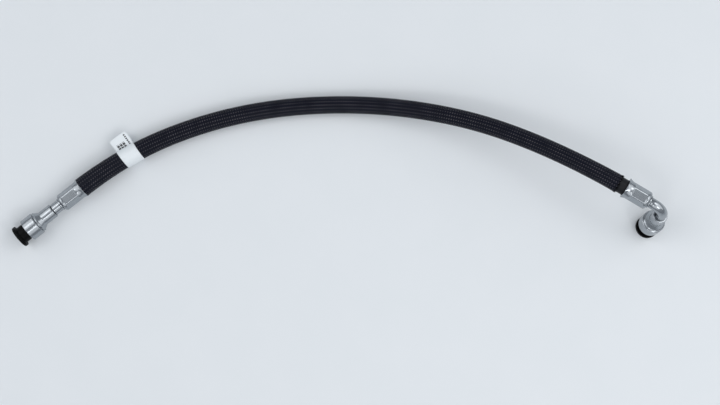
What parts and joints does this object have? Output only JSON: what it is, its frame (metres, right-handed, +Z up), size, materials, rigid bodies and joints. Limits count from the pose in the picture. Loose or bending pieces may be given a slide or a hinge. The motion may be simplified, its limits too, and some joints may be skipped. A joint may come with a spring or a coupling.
{
  "type": "fuel line",
  "caption": "Flexible braided fuel hose with a straight end and an elbow end, crimped steel ferrules, free-turning swivel nuts and push-in dust caps.",
  "frame": {"origin": "on the table, under the centre of the two end fittings", "axes": "+X from the straight end to the elbow end, +Y towards the top of the hose's arch, +Z up from the table"},
  "size_m": [0.742, 0.1713, 0.0798],
  "materials": {
    "hose_rubber": "satin",
    "braid": "woven",
    "label_film": "satin film",
    "plated_steel": "bright plated",
    "seal_rubber": "smooth",
    "cap_plastic": "moulded"
  },
  "bodies": {
    "hose_assembly": {"hose": "hose_rubber", "braided_sleeve": "braid", "label": "label_film", "straight_ferrule": "plated_steel", "straight_nipple": "plated_steel", "straight_cone_head": "plated_steel", "straight_seal_ring": "seal_rubber", "elbow_ferrule": "plated_steel", "elbow_nipple": "plated_steel", "elbow_pipe": "plated_steel", "elbow_cone_head": "plated_steel", "elbow_seal_ring": "seal_rubber"},
    "straight_swivel": {"straight_nut": "plated_steel", "straight_cap": "cap_plastic"},
    "elbow_swivel": {"elbow_nut": "plated_steel", "elbow_cap": "cap_plastic"}
  },
  "joints": [
    {"name": "straight_nut_spin", "type": "hinge", "parent": "hose_assembly", "child": "straight_swivel", "pos_m": [-0.32385, 0.00296, 0.0133], "axis": [-0.7837, -0.6211, 0], "continuous": true},
    {"name": "elbow_nut_spin", "type": "hinge", "parent": "hose_assembly", "child": "elbow_swivel", "pos_m": [0.36112, -0.00327, 0.05184], "axis": [-0.1388, -0.2724, -0.9521], "continuous": true}
  ]
}
